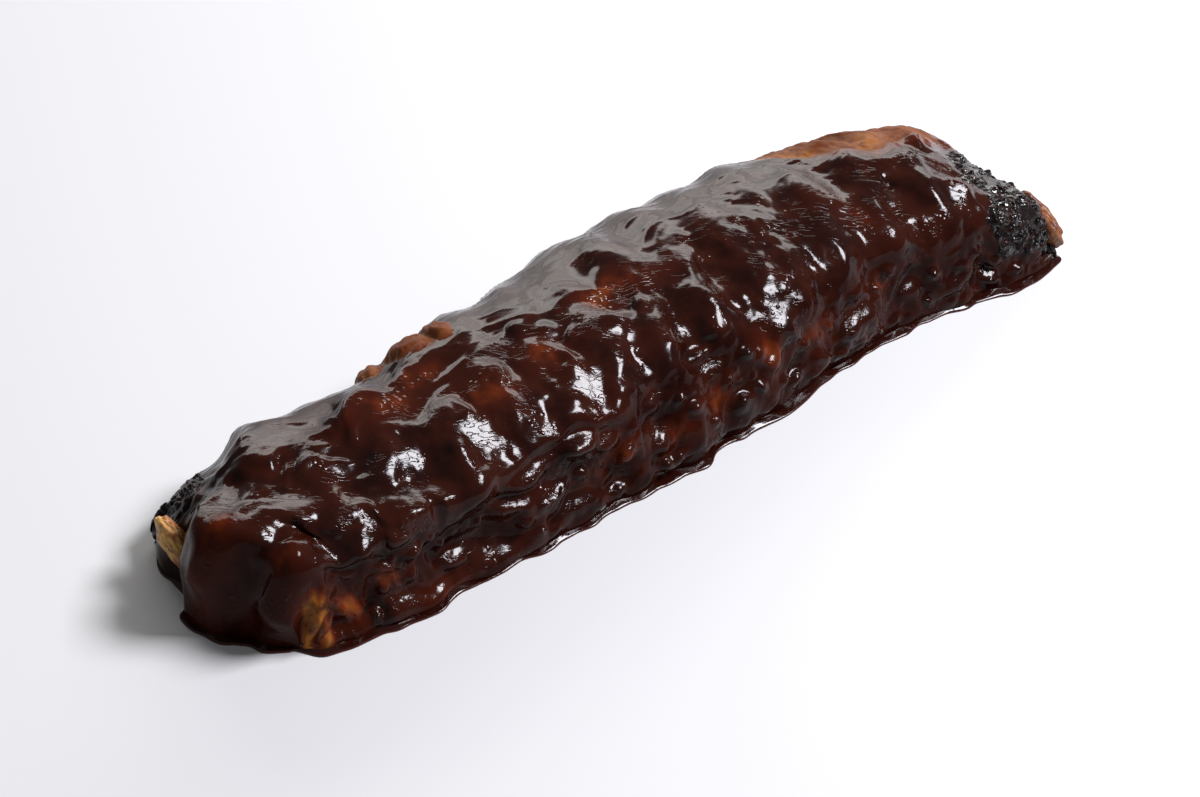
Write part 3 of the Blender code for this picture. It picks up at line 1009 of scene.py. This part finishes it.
def bone_side_material():
    """Browned membrane over bone: tan on the ridges, darker and redder in the hollows."""
    material = bpy.data.materials.new("bone_side")
    material.use_nodes = True
    nodes, links = material.node_tree.nodes, material.node_tree.links
    shader = nodes["Principled BSDF"]
    painted, noise, streaks, wrinkles, mix, maths, between, bump = wire(material)
    tone = mix(painted("hollow"), (0.36, 0.21, 0.12, 1), (0.13, 0.040, 0.020, 1))
    colour = mix(between(noise(60, 5), 0.42, 0.66), tone, (0.17, 0.070, 0.035, 1))
    colour = mix(between(noise(210, 4), 0.60, 0.75), colour, (0.040, 0.013, 0.008, 1))
    colour = mix(painted("sauced"), colour, (0.020, 0.0035, 0.0018, 1))
    links.new(colour, shader.inputs["Base Color"])
    shader.inputs["Roughness"].default_value = 0.38
    links.new(bump(noise(500, 4), 0.4, 0.0005), shader.inputs["Normal"])
    return material


def make_bone_side():
    """A slab inside the foot line: its lower face rises between ribs, its upper face is hidden."""
    share = np.linspace(0, 1, UNDER_ACROSS)
    rows = np.linspace(3, len(rack_points) - 4, UNDER_ALONG).astype(int)
    front, back = rack_points[rows, 0], rack_points[rows, -1]
    inset = 0.012 + 0.976 * share[None, :, None]
    points = front[:, None] * (1 - inset) + back[:, None] * inset
    x = points[..., 0]
    sway = 2 * MM * np.sin(share * 3 + 1)[None, :] + 1.2 * MM * slope_noise(x / (40 * MM), points[..., 1] / (30 * MM), 41)
    wave = rib_wave(x + sway)
    hollow = ramp(0.75, 0.0, wave) * ramp(0, 0.10, share) * ramp(1, 0.90, share)
    hollow = hollow * ramp(-156 * MM, -150 * MM, x) * ramp(150 * MM, 143 * MM, x)
    rough = slope_noise(x / (7 * MM), points[..., 1] / (11 * MM), 42)
    low = MM * (0.05 + 1.35 * hollow + 0.16 * (1 + rough) + 0.05 * (1 + slope_noise(x / (2 * MM), points[..., 1] / (3 * MM), 43)))
    lower, upper = points.copy(), points.copy()
    lower[..., 2] = low
    upper[..., 2] = 2.4 * MM
    count = len(rows) * UNDER_ACROSS
    top = grid_faces(len(rows), UNDER_ACROSS)
    faces = (top[:, ::-1] + count).tolist() + top.tolist()
    index = np.arange(count).reshape(len(rows), UNDER_ACROSS)
    border = np.array([*index[0, :], *index[1:, -1], *index[-1, -2::-1], *index[-2:0:-1, 0]])
    after = np.roll(border, -1)
    faces += np.stack([border, after, after + count, border + count], axis=1).tolist()
    everything = np.concatenate([upper.reshape(-1, 3), lower.reshape(-1, 3)])
    piece = new_piece("bone_side", everything, faces, bone_side_material())
    sauced = ramp(0.05, 0.01, np.minimum(share, 1 - share))[None, :] * np.ones_like(x)
    paint(piece, "hollow", np.concatenate([hollow.ravel(), hollow.ravel()]))
    paint(piece, "sauced", np.concatenate([sauced.ravel(), sauced.ravel()]))


make_bone_side()

# ---------------------------------------------------------------------------------------------
# The rim of sauce: what has run down and set round the foot, a bead one to two millimetres high
# that fills the bays between the rib tips. One closed band follows the foot line.
RIM_STEPS = 1500


def sauce_material():
    """Set sauce on its own: near black with a red edge, and a wet shine."""
    material = bpy.data.materials.new("set_sauce")
    material.use_nodes = True
    nodes, links = material.node_tree.nodes, material.node_tree.links
    shader = nodes["Principled BSDF"]
    painted, noise, streaks, wrinkles, mix, maths, between, bump = wire(material)
    colour = mix(painted("edge"), (0.013, 0.0022, 0.0012, 1), (0.050, 0.0085, 0.0030, 1))
    links.new(colour, shader.inputs["Base Color"])
    shader.inputs["Roughness"].default_value = 0.12
    shader.inputs["IOR"].default_value = 1.32
    links.new(bump(noise(420, 2), 0.15, 0.0005), shader.inputs["Normal"])
    return material


def make_sauce_rim():
    """Cross-sections along the foot line: up the meat, down a hollow curve, round a small bead."""
    foot = np.concatenate([rack_points[:, 0], rack_points[-1, 1:], rack_points[-2::-1, -1], rack_points[0, -2:0:-1]])
    loop = np.concatenate([foot, foot[:1]])[:, :2]
    along = np.concatenate([[0], np.cumsum(np.linalg.norm(np.diff(loop, axis=0), axis=1))])
    at = np.linspace(0, along[-1], RIM_STEPS, endpoint=False)
    path = np.stack([np.interp(at, along, loop[:, k]) for k in (0, 1)], axis=1)

    def smoothed(values, width):
        """The mean over a bell of this many steps along the closed line."""
        reach = np.arange(-3 * width, 3 * width + 1)
        weight = bell(reach, 0, width)
        rolled = [w * np.roll(values, -k, axis=0) for k, w in zip(reach, weight)]
        return sum(rolled) / weight.sum()

    soft = smoothed(path, 22)
    way = np.roll(soft, -1, axis=0) - np.roll(soft, 1, axis=0)
    out = np.stack([way[:, 1], -way[:, 0]], axis=1)
    out = out / np.linalg.norm(out, axis=1, keepdims=True)
    gap = np.maximum(((soft - path) * out).sum(axis=1), 0)
    width = MM * (0.5 + 1.2 * (path[:, 1] < 0)) + 0.8 * gap + 1.6 * MM * slope_noise(at / (23 * MM), at * 0 + 0.5, 51)
    width = width + 0.7 * MM * slope_noise(at / (7 * MM), at * 0 + 0.5, 52)
    width = smoothed(np.clip(width, -0.4 * MM, 6 * MM), 2)
    height = MM * (1.1 + 1.3 * slope_noise(at / (11 * MM), at * 0 + 0.3, 53))
    height = np.maximum(height, 0.2 * MM)
    part = np.linspace(0, 1, 22)
    reach = -2.2 * MM + (width[:, None] + 2.2 * MM) * np.sin(part * np.pi / 2)[None, :] ** 1.2
    climb = (1 - part) ** 1.6
    bead = np.sqrt(np.clip(1 - ((part - 0.72) / 0.28) ** 2, 0, 1)) * (part > 0.72) + (part <= 0.72)
    z = 0.05 * MM + (height[:, None] * climb[None, :] + 0.55 * MM) * bead[None, :]
    x = path[:, :1] + out[:, :1] * reach
    y = path[:, 1:] + out[:, 1:] * reach
    top = np.stack([x, y, z], axis=-1)
    floor_in = np.concatenate([path - out * 2.2 * MM, np.full((RIM_STEPS, 1), 0.05 * MM)], axis=1)
    ring = np.concatenate([top, floor_in[:, None]], axis=1)
    columns = ring.shape[1]
    index = np.arange(RIM_STEPS * columns).reshape(RIM_STEPS, columns)
    after = np.roll(index, -1, axis=0)
    side, other = np.roll(index, -1, axis=1), np.roll(after, -1, axis=1)
    faces = np.stack([index, side, other, after], axis=-1).reshape(-1, 4)
    piece = new_piece("sauce_rim", ring.reshape(-1, 3), faces.tolist(), sauce_material())
    edge = np.concatenate([ramp(0.70, 1.0, part), [0.0]])[None, :] * np.ones((RIM_STEPS, 1))
    paint(piece, "edge", edge)


make_sauce_rim()

# ---------------------------------------------------------------------------------------------
# The lights: one soft box high on the far right that makes the bright patches, a wide pale
# screen behind the rack, brighter towards its top, that makes the sheen on its back, and a fill.
KEY_TOWARDS = Vector((0.50, -0.33, 0.80)).normalized()


def soft_box(name, towards, distance, width, height, watts, colour):
    """An area light at a distance from the rack's middle, facing it."""
    data = bpy.data.lights.new(name, "AREA")
    data.shape = "RECTANGLE"
    data.size = width
    data.size_y = height
    data.energy = watts
    data.color = colour
    lamp = bpy.data.objects.new(name, data)
    lamp.location = towards * distance
    lamp.rotation_mode = "QUATERNION"
    lamp.rotation_quaternion = towards.to_track_quat("Z", "Y")
    bpy.context.scene.collection.objects.link(lamp)


def screen_towards(lift):
    """The way to the middle of a strip of the screen, lifted this many degrees."""
    level = math.cos(math.radians(lift))
    return Vector((0.585 * level, 0.811 * level, math.sin(math.radians(lift))))


soft_box("key_soft_box", KEY_TOWARDS, 1.4, 0.52, 0.40, 38, (0.94, 0.94, 1.0))
soft_box("screen_low", screen_towards(7), 1.7, 2.2, 0.44, 5.2, (1.0, 0.97, 0.94))
soft_box("screen_middle", screen_towards(19), 1.7, 2.2, 0.32, 9.0, (1.0, 0.97, 0.94))
soft_box("screen_high", screen_towards(29), 1.7, 2.2, 0.28, 14.0, (1.0, 0.97, 0.94))

world = bpy.data.worlds.new("fill")
world.use_nodes = True
world.node_tree.nodes["Background"].inputs["Color"].default_value = (0.95, 0.97, 1.0, 1)
world.node_tree.nodes["Background"].inputs["Strength"].default_value = 0.22
bpy.context.scene.world = world
bpy.context.scene.view_settings.view_transform = "Standard"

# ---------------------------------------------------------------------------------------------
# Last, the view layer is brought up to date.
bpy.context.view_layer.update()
